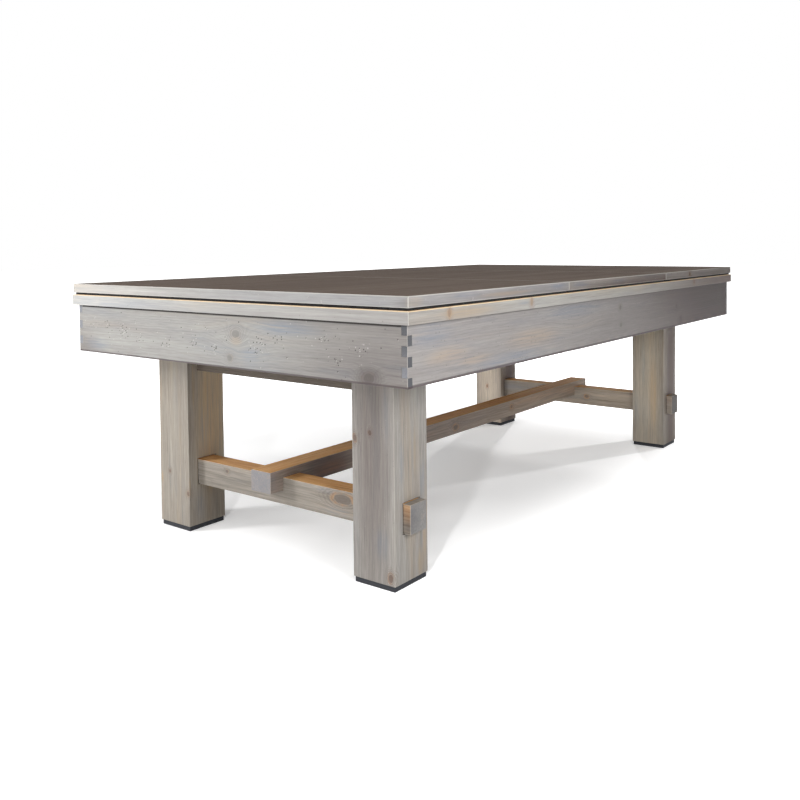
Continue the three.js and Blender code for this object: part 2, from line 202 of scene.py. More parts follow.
# Grey-stained pine. Each wood is a ramp from dark to pale grain, the tones that lie over it in patches,
# and how strongly its bands, streaks, lines, fibres and rings show. Lengths are in metres.
# The honey of the rail and trestle tops is partly their colour and partly painted warm light on upward faces
railHoneyLit = [(0.0, "8f6439"), (0.4, "cc9b62"), (0.65, "e2b784"), (1.0, "f0d5ae")]
trestleHoneyLit = [(0.0, "96602f"), (0.4, "db9c60"), (0.65, "f2bd80"), (1.0, "fadcb0")]
coverBrown = [(0.0, "443a33"), (0.4, "5a4e46"), (0.65, "675b52"), (1.0, "7c7065")]
woods = {
    "rail": {
        "grain": [(0.0, "76726d"), (0.4, "9e9a95"), (0.65, "afaca6"), (1.0, "c8c5bf")],
        "warmTone": "baa385", "warmth": 0.55, "coolTone": "92979f", "coolth": 0.6,
        "bands": 0.4, "streaks": 0.45, "lines": 0.5, "fibres": 0.45, "rings": 0.08, "ringPitch": 0.006,
        "knotTone": "9a8069", "rimTone": "b3977a", "edgeTone": "dcd8d0", "wear": 0.002, "end": 0.62,
        "specks": 0.3, "top": railHoneyLit, "lip": 0.0028, "skirt": 0.005,
    },
    "apron": {
        "grain": [(0.0, "625e5e"), (0.4, "928e8d"), (0.65, "a4a19f"), (1.0, "bdbab7")],
        "warmTone": "b5a08a", "warmth": 0.45, "coolTone": "828a98", "coolth": 0.75,
        "bands": 0.4, "streaks": 0.25, "lines": 0.34, "fibres": 0.55, "rings": 0.12, "ringPitch": 0.007,
        "knotTone": "7c7875", "rimTone": "958c84", "edgeTone": "c4c0ba", "wear": 0.0016, "end": 0.36,
        "specks": 1.0, "skirt": 0.0055, "crease": (0.0036, 0.35), "glue": 0.0022,
    },
    "leg": {
        "grain": [(0.0, "665d55"), (0.4, "91897f"), (0.65, "a59d91"), (1.0, "c1baad")],
        "warmTone": "b2946c", "warmth": 0.5, "coolTone": "868b90", "coolth": 0.6,
        "bands": 0.36, "streaks": 0.3, "lines": 0.6, "fibres": 0.7, "rings": 0.12, "ringPitch": 0.0055,
        "knotTone": "6e5546", "rimTone": "a07c5e", "edgeTone": "c8c2b6", "wear": 0.0014, "end": 0.5,
        "specks": 0.2,
    },
    "trestle": {
        "grain": [(0.0, "5b544d"), (0.4, "857e75"), (0.65, "9b9389"), (1.0, "bcb3a8")],
        "warmTone": "b8916a", "warmth": 0.5, "coolTone": "83888f", "coolth": 0.6,
        "bands": 0.45, "streaks": 0.55, "lines": 0.7, "fibres": 0.5, "rings": 0.15, "ringPitch": 0.006,
        "knotTone": "6b6058", "rimTone": "ad8660", "edgeTone": "cdc4b5", "wear": 0.002, "end": 0.8,
        "specks": 0.2, "top": trestleHoneyLit,
    },
    "cover": {
        "grain": [(0.0, "706c69"), (0.4, "98948f"), (0.65, "aaa6a1"), (1.0, "c6c3be")],
        "warmTone": "b5a28b", "warmth": 0.5, "coolTone": "8c929e", "coolth": 0.65,
        "bands": 0.45, "streaks": 0.45, "lines": 0.5, "fibres": 0.45, "rings": 0.07, "ringPitch": 0.0065,
        "knotTone": "7a6656", "rimTone": "a2855f", "edgeTone": "d8d4cc", "wear": 0.0034,
        "specks": 0.7, "top": coverBrown, "under": "3b3531", "shine": 0.04, "matt": 0.14,
    },
    "frame": {
        "grain": [(0.0, "8f714a"), (0.4, "b0916a"), (0.65, "c0a27a"), (1.0, "d0b58e")],
        "warmTone": "b98d58", "warmth": 0.5, "coolTone": "ab9672", "coolth": 0.2,
        "bands": 0.5, "streaks": 0.4, "lines": 0.4, "fibres": 0.3, "rings": 0.35, "ringPitch": 0.006,
        "knotTone": "6f4526", "rimTone": "8f5f38", "edgeTone": "d0b58e", "wear": 0.002, "end": 0.8,
    },
}

# Each board: its wood, the axis its grain follows, where its pith lies (shares of the box, often outside it)
# and its marks. A mark is a place in shares of the box, half its length along the grain and half its width
# across it; pale and dark marks end with their strength, and are partly the board's own tone and partly
# painted light and shade.
plainBoard = {
    "tint": (1.0, 1.0, 1.0), "specks": 0.0, "skirt": 0.0, "shine": 0.3, "matt": 0.0, "lipped": False,
    "knots": [], "swirls": [], "warm": [], "cool": [], "pale": [], "dark": [], "wormy": [],
}
boards = {
    "apron_head": {
        "wood": "apron", "axis": 1, "pith": (-4.0, 0.0, -0.35), "seed": 1.3, "tint": (0.98, 1.0, 0.97),
        "crease": (0.0062, 0.97),
        "knots": [
            (0.0, 0.44, 0.64, 0.02, 0.014), (0.0, 0.459, 0.19, 0.013, 0.011),
            (0.0, 0.088, 0.1, 0.022, 0.016),
        ],
        "swirls": [(0.0, 0.43, 0.5, 0.11, 0.05)],
        "warm": [(0.0, 0.44, 0.52, 0.035, 0.02)],
        "cool": [(0.0, 0.395, 0.27, 0.07, 0.05), (0.0, 0.3, 0.8, 0.2, 0.03), (0.0, 0.93, 0.2, 0.1, 0.03)],
        "dark": [
            (0.0, 1.0, 0.1, 0.16, 0.09, 0.4), (0.0, 0.0, 0.4, 0.6, 0.4, 0.46),
            (0.0, 0.088, 0.12, 0.06, 0.035, 0.5),
        ],
        "wormy": [
            (0.0, 0.933, 0.59, 0.016, 0.014), (0.0, 0.886, 0.62, 0.022, 0.02),
            (0.0, 0.82, 0.5, 0.034, 0.03), (0.0, 0.76, 0.38, 0.022, 0.02), (0.0, 0.67, 0.36, 0.03, 0.018),
            (0.0, 0.57, 0.43, 0.024, 0.016), (0.0, 0.506, 0.33, 0.024, 0.016),
            (0.0, 0.374, 0.43, 0.044, 0.028), (0.0, 0.32, 0.61, 0.02, 0.018),
            (0.0, 0.2, 0.66, 0.026, 0.012), (0.0, 0.102, 0.57, 0.036, 0.024),
            (0.0, 0.162, 0.34, 0.02, 0.02),
        ],
    },
    "apron_foot": {
        "wood": "apron", "axis": 1, "pith": (5.0, 0.0, 1.4), "seed": 4.1,
        "knots": [(1.0, 0.37, 0.6, 0.018, 0.013), (1.0, 0.82, 0.25, 0.012, 0.01)],
        "swirls": [(1.0, 0.71, 0.4, 0.14, 0.05)],
        "wormy": [(1.0, 0.25, 0.4, 0.06, 0.03), (1.0, 0.6, 0.7, 0.05, 0.03), (1.0, 0.12, 0.7, 0.03, 0.02)],
    },
    "apron_right": {
        "wood": "apron", "axis": 0, "pith": (0.0, -5.0, -0.5), "seed": 2.2, "tint": (0.84, 0.83, 0.82),
        "fade": (0.1, 0.75), "specks": 0.35, "skirt": 0.008,
        "knots": [
            (0.503, 0.0, 0.74, 0.011, 0.01), (0.505, 0.0, 0.33, 0.009, 0.009),
            (0.73, 0.0, 0.53, 0.012, 0.01), (0.75, 0.0, 0.18, 0.018, 0.014),
        ],
        "swirls": [(0.36, 0.0, 0.75, 0.12, 0.05)],
        "warm": [
            (0.25, 0.0, 0.43, 0.22, 0.04), (0.07, 0.0, 0.4, 0.14, 0.035), (0.12, 0.0, 0.25, 0.12, 0.02),
        ],
        "cool": [(0.04, 0.0, 0.8, 0.14, 0.05), (0.36, 0.0, 0.85, 0.3, 0.04), (0.2, 0.0, 0.12, 0.3, 0.03)],
        # the dark marks and the tint darken the board towards its far end, partly its own tone and partly
        # painted shade
        "dark": [
            (1.1, 0.0, 0.4, 2.2, 5.0, 0.95), (0.85, 0.0, 0.9, 0.9, 0.2, 0.4),
            (1.1, 0.0, 0.5, 1.3, 5.0, 0.82),
        ],
        "wormy": [(0.72, 0.0, 0.8, 0.03, 0.02)],
    },
    "apron_left": {
        "wood": "apron", "axis": 0, "pith": (0.0, 6.0, 1.5), "seed": 5.7, "end": 0.85,
        "knots": [(0.22, 1.0, 0.65, 0.017, 0.013), (0.8, 1.0, 0.35, 0.012, 0.01)],
        "swirls": [(0.55, 1.0, 0.5, 0.2, 0.05)],
        "wormy": [(0.35, 1.0, 0.5, 0.06, 0.03), (0.9, 1.0, 0.6, 0.04, 0.03)],
    },
    "rail_head": {
        "wood": "rail", "axis": 1, "pith": (0.3, 0.0, -1.6), "seed": 3.4, "tint": (1.03, 1.05, 1.08),
        "cool": [(0.0, 0.85, 0.5, 0.45, 0.06)],
        # painted light and shade: paler towards the left end, darker towards the near corner
        "pale": [(0.0, 1.0, 0.5, 0.5, 0.5, 0.32)],
        "dark": [(0.0, 0.0, 0.5, 0.9, 5.0, 0.24)],
        "wormy": [(0.0, 0.78, 0.5, 0.02, 0.01)],
    },
    "rail_foot": {
        "wood": "rail", "axis": 1, "pith": (0.8, 0.0, 2.4), "seed": 6.6,
        "knots": [(1.0, 0.3, 0.5, 0.014, 0.009)],
    },
    "rail_right": {
        "wood": "rail", "axis": 0, "pith": (0.0, 0.4, -1.2), "seed": 7.9, "tint": (0.96, 0.97, 0.97),
        "knots": [
            (0.068, 0.0, 0.62, 0.008, 0.016), (0.237, 0.0, 0.68, 0.008, 0.016),
            (0.795, 0.0, 0.66, 0.014, 0.01),
        ],
        "warm": [(0.1, 0.0, 0.5, 0.2, 0.02)],
        "cool": [(0.218, 0.0, 0.7, 0.05, 0.012), (0.61, 0.0, 0.75, 0.06, 0.012)],
        # painted shade: darker towards the far end, and a little at the near end
        "dark": [(1.1, 0.0, 0.4, 1.9, 5.0, 0.93), (0.0, 0.0, 0.5, 0.8, 5.0, 0.3)],
    },
    "rail_left": {
        "wood": "rail", "axis": 0, "pith": (0.0, 0.7, 2.2), "seed": 9.2,
        "knots": [(0.3, 1.0, 0.5, 0.014, 0.01)],
    },
    "leg_head_right": {
        "wood": "leg", "axis": 2, "pith": (0.35, 1.6, 0.0), "seed": 1.9, "tint": (0.94, 0.99, 1.08),
        "mortise": "end_stretcher_head",
        "knots": [
            (0.0, 0.564, 0.671, 0.009, 0.0065), (0.0, 0.934, 0.639, 0.012, 0.008),
            (0.0, 0.099, 0.035, 0.015, 0.01),
        ],
        "warm": [
            (0.8, 0.0, 0.06, 0.07, 0.025), (0.62, 0.0, 0.56, 0.12, 0.01), (0.9, 0.0, 0.15, 0.1, 0.012),
        ],
        "cool": [
            (0.0, 0.32, 0.18, 0.07, 0.04), (0.85, 0.0, 0.43, 0.09, 0.018), (0.2, 0.0, 0.54, 0.1, 0.016),
            (0.0, 0.2, 0.75, 0.12, 0.02),
        ],
        # painted shade: its outer −X face darker, under the apron
        "dark": [(0.0, 0.5, 0.6, 0.7, 0.1, 0.55)],
    },
    "leg_head_left": {
        "wood": "leg", "axis": 2, "pith": (1.7, 0.4, 0.0), "seed": 2.7, "mortise": "end_stretcher_head",
        "knots": [(0.0, 0.669, 0.282, 0.007, 0.006), (0.0, 0.04, 0.179, 0.01, 0.007)],
        # the large warm and pale marks on the inner −Y face are partly painted bounce light
        "warm": [
            (0.02, 0.0, 0.225, 0.04, 0.006), (0.0, 0.935, 0.24, 0.03, 0.008), (0.85, 0.0, 0.75, 0.2, 0.035),
            (0.16, 0.0, 0.77, 0.14, 0.012), (0.6, 0.0, 0.25, 0.1, 0.04), (0.6, 0.0, 0.6, 0.4, 0.09),
        ],
        "cool": [(0.3, 0.0, 0.1, 0.08, 0.03), (0.45, 0.0, 0.5, 0.12, 0.03)],
        "pale": [(0.8, 0.0, 0.6, 0.6, 0.12, 0.55)],
        "dark": [(0.6, 0.0, 0.1, 0.2, 0.12, 0.3)],
    },
    "leg_foot_right": {
        "wood": "leg", "axis": 2, "pith": (-0.7, 0.5, 0.0), "seed": 5.2, "mortise": "end_stretcher_foot",
        "warm": [(0.0, 0.33, 0.37, 0.25, 0.03)],
        "cool": [(0.0, 0.65, 0.6, 0.16, 0.012), (0.0, 0.85, 0.25, 0.12, 0.02)],
        # painted light on the −X face and painted shade on the −Y face
        "pale": [(0.0, 0.55, 0.5, 0.9, 0.11, 0.6)],
        "dark": [(0.6, 0.0, 0.5, 0.9, 0.12, 1.0)],
    },
    "leg_foot_left": {
        # the bright tint and the pale mark are painted light on the −X face, and the dark mark is painted
        # shade on the −Y face
        "wood": "leg", "axis": 2, "pith": (0.5, -0.8, 0.0), "seed": 8.3, "tint": (1.12, 1.1, 1.14),
        "mortise": "end_stretcher_foot",
        "knots": [(0.0, 0.55, 0.3, 0.009, 0.007)],
        "pale": [(0.0, 0.5, 0.5, 0.9, 0.14, 1.0)],
        "dark": [(0.6, 0.0, 0.5, 0.9, 0.12, 1.0)],
    },
    "end_stretcher_head": {
        "wood": "trestle", "axis": 1, "pith": (1.2, 0.0, -0.6), "seed": 3.1, "tenon": 0.52, "cheek": 0.4,
        "end": 0.92,
        "knots": [(0.0, 0.232, 0.69, 0.042, 0.017), (0.0, 0.702, 0.76, 0.008, 0.0065)],
        "cool": [(0.0, 0.3, 0.9, 0.08, 0.014), (0.0, 0.25, 0.2, 0.09, 0.016)],
        "dark": [(0.0, 0.0, 0.5, 0.04, 0.07, 0.6)],
        "wormy": [(0.0, 0.367, 0.43, 0.012, 0.008)],
    },
    "end_stretcher_foot": {
        "wood": "trestle", "axis": 1, "pith": (-0.8, 0.0, 1.6), "seed": 6.4, "tint": (1.02, 0.97, 0.95),
        "tenon": 0.52, "cheek": 0.06, "end": 0.5,
        "knots": [(0.0, 0.4, 0.5, 0.014, 0.01), (1.0, 0.65, 0.5, 0.018, 0.012)],
        "cool": [(0.0, 0.55, 0.5, 0.3, 0.04), (0.0, 0.8, 0.6, 0.2, 0.03)],
        # painted light: the pale mark lightens the −X face under the table
        "pale": [(0.0, 0.35, 0.5, 0.5, 0.1, 0.7)],
    },
    "centre_beam": {
        "wood": "trestle", "axis": 0, "pith": (0.0, 1.4, -0.9), "seed": 4.8, "tint": (0.92, 0.84, 0.83),
        "end": 1.12,
        "knots": [(0.46, 0.0, 0.4, 0.02, 0.013), (0.66, 0.0, 0.6, 0.012, 0.009)],
        "swirls": [(0.72, 0.0, 0.5, 0.12, 0.025)],
        "warm": [(0.12, 0.0, 0.4, 0.12, 0.03)],
        "cool": [(0.0, 0.5, 0.5, 0.04, 0.1)],
        # painted light towards the far end, and painted shadow on the side just behind the head stretcher
        "pale": [(0.9, 0.0, 0.5, 1.2, 0.3, 0.8)],
        "dark": [(0.125, 0.0, 0.4, 0.2, 0.2, 0.85)],
    },
    # the cross rails' dark tint is painted shade, for the shadow under the apron
    "cross_rail_head": {
        "wood": "leg", "axis": 1, "pith": (1.4, 0.0, -0.5), "seed": 7.1, "tint": (0.3, 0.27, 0.25),
    },
    "cross_rail_foot": {
        "wood": "leg", "axis": 1, "pith": (-0.6, 0.0, -0.4), "seed": 7.6, "tint": (0.3, 0.27, 0.25),
    },
    "cover_panel_1": {
        "wood": "cover", "axis": 0, "pith": (0.0, 0.35, -3.2), "seed": 2.5, "tint": (0.95, 0.985, 1.05),
        "lipped": True,
        "warm": [(0.03, 0.0, 0.5, 0.05, 0.02), (0.55, 0.0, 0.4, 0.2, 0.01)],
        "cool": [(0.91, 0.0, 0.6, 0.08, 0.016), (0.3, 0.0, 0.6, 0.1, 0.012)],
        # painted light on the head end, and painted shade along the lower near side
        "pale": [(0.0, 1.1, 0.5, 0.06, 1.3, 0.62)],
        "dark": [(0.6, 0.0, 0.0, 1.0, 0.06, 0.38)],
        "wormy": [
            (0.0, 0.232, 0.52, 0.02, 0.006), (0.0, 0.131, 0.15, 0.02, 0.006),
            (0.0, 0.078, 0.7, 0.02, 0.006), (0.0, 0.385, 0.78, 0.02, 0.006),
        ],
    },
    "cover_panel_2": {
        "wood": "cover", "axis": 0, "pith": (0.0, 0.6, -4.0), "seed": 5.5, "lipped": True,
        "cool": [(0.1, 0.0, 0.5, 0.1, 0.016), (0.45, 0.0, 0.55, 0.12, 0.012)],
        # painted shade along the lower near side, darker towards the far end
        "dark": [(1.0, 0.0, 0.0, 1.6, 0.06, 0.75)],
    },
    "cover_panel_3": {
        "wood": "cover", "axis": 0, "pith": (0.0, 0.45, -3.6), "seed": 8.8, "lipped": True,
        "knots": [(0.326, 0.0, 0.5, 0.012, 0.009)],
        "dark": [(0.6, 0.0, 0.0, 1.6, 0.06, 0.5)],
    },
    "bed_beam_left": {"wood": "frame", "axis": 0, "pith": (0.0, 0.4, -1.5), "seed": 1.1},
    "bed_beam_right": {"wood": "frame", "axis": 0, "pith": (0.0, 0.6, -1.2), "seed": 2.9},
    "bed_joist_1": {"wood": "frame", "axis": 1, "pith": (0.4, 0.0, -1.8), "seed": 3.7},
    "bed_joist_2": {"wood": "frame", "axis": 1, "pith": (0.7, 0.0, 2.4), "seed": 4.4},
    "bed_joist_3": {"wood": "frame", "axis": 1, "pith": (0.2, 0.0, -1.1), "seed": 5.9},
    "bed_joist_4": {"wood": "frame", "axis": 1, "pith": (0.6, 0.0, -2.1), "seed": 6.2},
}

# Layers of noise in the wood: waves to the metre along the grain and across it, detail and roughness
layers = {
    "wander": (1.3, 5.0, 2.0, 0.5), "ripple": (9.0, 40.0, 2.0, 0.5),
    "bands": (0.9, 13.0, 2.0, 0.5), "streaks": (1.8, 46.0, 3.0, 0.6),
    "lines": (5.0, 175.0, 2.0, 0.6), "fibres": (22.0, 560.0, 3.0, 0.65),
    "warm": (1.5, 22.0, 3.0, 0.6), "cool": (2.6, 15.0, 3.0, 0.6),
}

# How the grain gives way to a knot and to a swirl, with reaches in sizes of the mark
partings = {
    "knots": {"from": 0.2, "to": 3.6, "pull": 0.75, "swellTo": 3.2, "swell": 1.6},
    "swirls": {"from": 0.0, "to": 1.8, "pull": 0.6, "swellTo": 1.5, "swell": 0.7},
}

# Stains, flecks, painted shade and painted highlights that every board shares
stainsAndPaintedLight = {
    "bleachAndPaintedLight": (1.76, 1.72, 1.6, 1.0), "dark": tone("856f6c"), "skirtShadow": tone("43383a"),
    "crease": tone("211d1c"), "joint": tone("2a2420"), "glue": tone("3a3735"), "lip": tone("f2cf96"),
    "hole": tone("2b2724"), "prickHighlight": tone("e4e1da"),
}
prickScale = 150.0  # worm pricks to the metre
prickHighlightShift = (0.0016, 0.0021)  # from a prick to the painted highlight beside it


class Plank:
    # one board of wood, whose colour is built up a step at a time
    def __init__(self, node, board):
        self.f = newFinish(node + "_wood")
        self.look = plainBoard | woods[board["wood"]] | board
        self.axis = board["axis"]
        self.seed = board["seed"]
        self.low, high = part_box(node)
        self.size = high - self.low
        self.place = self.f.vector("SUBTRACT", self.f.place(), tuple(self.low))
        self.local = self.f.split(self.place)
        self.gaps = [near.least(side - near) for near, side in zip(self.local, self.size)]
        facing = self.f.facing()
        self.up = self.f.split(facing)[2]
        self.level = self.f.split(self.f.vector("ABSOLUTE", facing))
        self.ends = self.level[self.axis].smooth(0.7, 0.9)
        self.flow = self.place
        if self.look["lipped"]:
            # a strip along each end of the panel, whose grain runs across
            x, y, z = self.local
            turned = self.f.node("CombineXYZ", sockets={0: y, 1: x, 2: z})
            settings = {"data_type": "VECTOR"}
            self.flow = self.f.node("Mix", settings, {0: self.ends, 4: self.place, 5: turned}, take=1)
        self.shifted = self.f.vector("ADD", self.flow, tuple(self.seed * step for step in (1.7, 2.3, 0.9)))

    def stretch(self, along, across):
        return tuple(along if i == self.axis else across for i in range(3))

    def shares(self, place):
        return tuple(share * side for share, side in zip(place, self.size))

    def layer(self, name, where):
        along, across, detail, rough = layers[name]
        return self.f.noise(where, 1.0, detail, rough, self.stretch(along, across))

    def reach(self, mark):
        # the way from a mark, and how far that is in sizes of the mark
        offset = self.f.vector("SUBTRACT", self.place, self.shares(mark[:3]))
        scaled = self.f.vector("DIVIDE", offset, self.stretch(*mark[3:5]))
        return offset, self.f.vector("LENGTH", scaled, take="Value")

    def within(self, mark, inner, outer=1.0):
        return 1 - self.reach(mark)[1].smooth(inner, outer)

    def lay(self, colour, amount):
        self.colour = self.f.mix(self.colour, colour, amount)

    def bendGrain(self):
        # the grain parts round knots and swells in swirls
        self.bent = self.flow
        self.bulge = 0.0
        self.knotReach = None
        for kind, parting in partings.items():
            for mark in self.look[kind]:
                offset, reach = self.reach(mark)
                pull = (1 - reach.smooth(parting["from"], parting["to"])) * parting["pull"]
                pulled = self.f.node("VectorMath", {"operation": "SCALE"}, {0: offset, "Scale": pull})
                self.bent = self.f.vector("SUBTRACT", self.bent, pulled)
                swell = mark[4] * parting["swell"]
                self.bulge = self.bulge + (1 - reach.smooth(0.0, parting["swellTo"])) * swell
                if kind == "knots":
                    self.knotReach = reach if self.knotReach is None else self.knotReach.least(reach)

    def growRings(self):
        # growth rings round a pith that lies off the board
        across = self.f.vector("MULTIPLY", self.flow, self.stretch(0.0, 1.0))
        wander = (self.layer("wander", self.shifted) - 0.5) * 0.03
        self.ripple = (self.layer("ripple", self.shifted) - 0.5) * 0.004
        radius = self.f.vector("DISTANCE", across, self.shares(self.look["pith"]), take="Value")
        ring = (radius + wander + self.ripple + self.bulge) / self.look["ringPitch"] + self.seed
        phase = ring.fraction()
        chance = self.f.node("TexWhiteNoise", {"noise_dimensions": "1D"}, {"W": ring - phase})
        self.late = phase.smooth(0.2, 0.85) * (1 - phase.smooth(0.88, 1.0)) * (chance * 0.8 + 0.2)

    def drawGrain(self):
        # dark and pale grain, then warm streaks along it and cool clouds over it
        look = self.look
        where = self.f.vector("ADD", self.bent, tuple(self.seed * step for step in (3.1, 1.3, 2.1)))
        bands, streaks, self.lines, self.fibres = [
            self.layer(name, where) - 0.5 for name in ("bands", "streaks", "lines", "fibres")]
        shade = 0.54 + bands * look["bands"] + streaks * look["streaks"] + self.lines * look["lines"]
        self.shade = shade + self.fibres * look["fibres"] - self.late * look["rings"]
        self.colour = self.f.ramp(look["grain"], self.shade)
        combed = (self.lines * 2.4 + streaks * 1.2 + self.fibres + 0.75).most(0.15).least(1.15)
        warm = self.layer("warm", where).smooth(0.5, 0.76) * 0.55
        for mark in look["warm"]:
            warm = warm.most(self.within(mark, 0.2))
        self.lay(tone(look["warmTone"]), warm * combed * look["warmth"])
        cool = self.layer("cool", where).smooth(0.48, 0.78) * 0.6
        for mark in look["cool"]:
            cool = cool.most(self.within(mark, 0.1))
        self.lay(tone(look["coolTone"]), cool * (1.3 - combed) * look["coolth"])

    def tintAndShadeBoard(self):
        # the board's tint, made paler and darker in places, partly its own tone and partly painted light and
        # shade, lies on its wood and its knots alike
        tintLightAndShade = self.look["tint"] + (1.0,)
        for kind, markTone in (("pale", stainsAndPaintedLight["bleachAndPaintedLight"]), ("dark", stainsAndPaintedLight["dark"])):
            for mark in self.look[kind]:
                tintLightAndShade = self.f.mix(tintLightAndShade, markTone, self.within(mark, 0.1) * mark[5], "MULTIPLY")
        self.colour = self.f.mix(self.colour, tintLightAndShade, 1.0, "MULTIPLY")
        self.knotTone = self.f.mix(tone(self.look["knotTone"]), tintLightAndShade, 1.0, "MULTIPLY")
        self.rimTone = self.f.mix(tone(self.look["rimTone"]), tintLightAndShade, 1.0, "MULTIPLY")

    def colourFaces(self):
        # upper and under faces of another colour: the honey tops are partly painted warm light, the cover's
        # dark underside is painted shade
        look = self.look
        if "top" in look:
            upward = self.up.smooth(0.5, 0.9)
            if "tenon" in look:
                # beyond the legs the tenon's cheeks are honey, painted brighter towards the top as warm
                # light, and its top is grey
                fromMiddle = (self.local[1] - self.size.y / 2).absolute()
                beyond = fromMiddle.smooth(look["tenon"] - 0.002, look["tenon"] + 0.002)
                cheek = self.level[0] * self.local[2].smooth(self.size.z * 0.2, self.size.z)
                upward = upward * (1 - beyond) + cheek * beyond * look["cheek"]
            self.lay(self.f.ramp(look["top"], self.shade), upward)
        if "under" in look:
            # painted shade on the cover's downward faces, for the dark gap under its edge
            self.lay(tone(look["under"]), self.up.smooth(-0.5, -0.9) * 0.8)
        if "lip" in look:
            # a painted highlight: the honey of the lit rail top, laid along the top of the outer face
            lip = self.local[2].smooth(self.size.z - look["lip"], self.size.z - look["lip"] * 0.6)
            self.lay(stainsAndPaintedLight["lip"], lip * (1 - self.up.smooth(0.6, 0.9)) * 0.85)

    def growKnots(self):
        # pin knots wherever they fall, then the knots that are placed
        where = self.f.vector("MULTIPLY", self.shifted, self.stretch(2.6, 7.0))
        pins = self.f.node("TexVoronoi", sockets={"Vector": where, "Scale": 1.0})
        self.pin = (1 - pins.smooth(0.015, 0.05)) * self.f.split(pins.also("Color"))[0].smooth(0.72, 0.74)
        self.lay(self.knotTone, self.pin * 0.7)
        if self.knotReach is None:
            return
        wobble = (self.f.noise(self.shifted, 70.0, 3.0, 0.6) - 0.5) * 0.5
        reach = self.knotReach + wobble
        body = 1 - reach.smooth(0.6, 1.0)
        rim = reach.smooth(0.7, 1.0) * (1 - reach.smooth(1.0, 1.4))
        whorls = (reach * 2.6 + self.ripple * 200.0).fraction().smooth(0.35, 0.95)
        swept = (1 - reach.smooth(1.3, 3.0)) * whorls
        patchy = self.f.noise(self.shifted, 38.0, 2.0).smooth(0.35, 0.65)
        self.lay(self.knotTone, body * (0.75 + wobble))
        self.lay(self.rimTone, rim * patchy * 0.8)
        self.lay(self.knotTone, swept * 0.5)
        self.pin = self.pin.most(body * 0.6)

    def prick(self):
        # worm holes and pricks in clusters, each with a painted highlight beside it, as on its lit rim
        clusters = self.f.noise(self.shifted, 6.0, 2.0).smooth(0.68, 0.74) * 0.5
        for mark in self.look["wormy"]:
            clusters = clusters.most(self.within(mark, 0.4, 1.1))

        def holes(where):
            cells = self.f.node("TexVoronoi", sockets={"Vector": where, "Scale": prickScale})
            chance = self.f.split(cells.also("Color"))
            chosen = (chance[1] + clusters * 0.5).smooth(0.96, 1.0)
            return (1 - cells.smooth(0.14 + chance[0] * 0.14, 0.38)) * chosen * self.look["specks"]

        prickHighlight = holes(self.f.vector("ADD", self.shifted, self.stretch(*prickHighlightShift)))
        self.hole = holes(self.shifted)
        self.lay(stainsAndPaintedLight["prickHighlight"], prickHighlight * 0.28)
        self.lay(stainsAndPaintedLight["hole"], self.hole * 0.9)

    def cutEnds(self):
        # end grain is darker and cooler, and a finger joint shows its glue line
        look = self.look
        if look["lipped"]:
            self.ends = 0.0
            return
        plainEnd = self.f.mix(self.colour, tone(look["coolTone"]), 0.45)
        darkEnd = self.f.mix(plainEnd, (look["end"],) * 3 + (1.0,), 1.0, "MULTIPLY")
        if "fade" in look:
            depth = (self.local[2] / self.size.z).smooth(*look["fade"]) * 0.75 + 0.25
            darkEnd = self.f.mix(plainEnd, darkEnd, depth)
        self.lay(darkEnd, self.ends)
        if "glue" in look:
            inwards = self.gaps[1 - self.axis]
            glued = self.ends * (1 - inwards.smooth(look["glue"] * 0.4, look["glue"]))
            self.lay(stainsAndPaintedLight["glue"], glued * 0.6)

    def wearEdges(self):
        # arrises rubbed pale, and a painted shadow along the lower edge
        look = self.look
        x, y, z = self.gaps
        arris = x.least(y).most(x.most(y).least(z))
        rub = (self.f.noise(self.shifted, 22.0, 3.0) - 0.5) * 0.0016
        worn = (1 - (arris - rub).smooth(look["wear"] * 0.3, look["wear"])) * self.up.smooth(-0.5, -0.1)
        self.lay(tone(look["edgeTone"]), worn * 0.48 * (1 - self.ends * 0.6))
        # painted shade: the skirt darkens the lowest few millimetres of the board
        if look["skirt"]:
            skirtShadow = 1 - (self.local[2] + rub).smooth(look["skirt"] * 0.6, look["skirt"] * 1.2)
            self.lay(stainsAndPaintedLight["skirtShadow"], skirtShadow * 0.85)
        if "crease" in look:
            # painted shadow of the rail's overhang along the apron's top edge
            width, depth = look["crease"]
            top = self.size.z
            self.lay(stainsAndPaintedLight["crease"], self.local[2].smooth(top - width * 1.15, top - width * 0.85) * depth)
        if "mortise" in look:
            # a dark line round the stretcher where it passes through the leg
            low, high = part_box(look["mortise"])
            middle = (low + high) / 2 - self.low
            half = (high - low) / 2
            beside = (self.local[0] - middle.x).absolute() - half.x
            above = (self.local[2] - middle.z).absolute() - half.z
            joint = (1 - beside.most(above).smooth(0.0024, 0.004)) * self.level[1]
            self.lay(stainsAndPaintedLight["joint"], joint * 0.95)

    def close(self):
        dents = self.f.noise(self.shifted, 26.0, 2.0) - 0.5
        height = self.fibres * 0.5 + self.lines * 0.3 + dents * 0.5 - self.late * 0.3
        height = height - self.hole * 2.0 - self.pin * 0.3
        rough = 0.62 - self.late * 0.08 + self.fibres * 0.15 + self.ends * 0.12 + self.look["matt"]
        return self.f.coat({
            "Base Color": self.colour, "Roughness": rough, "Specular IOR Level": self.look["shine"],
            "Normal": self.f.bump(height, 0.0006, 0.7)})


def woodFinish(node, board):
    plank = Plank(node, board)
    plank.bendGrain()
    plank.growRings()
    plank.drawGrain()
    plank.tintAndShadeBoard()
    plank.colourFaces()
    plank.growKnots()
    plank.prick()
    plank.cutEnds()
    plank.wearEdges()
    return plank.close()


for node, board in boards.items():
    paint(node, woodFinish(node, board))
print("boards finished:", len(boards))


# Slate, steel, rubber, felt, cloth, leather, thread and pearl

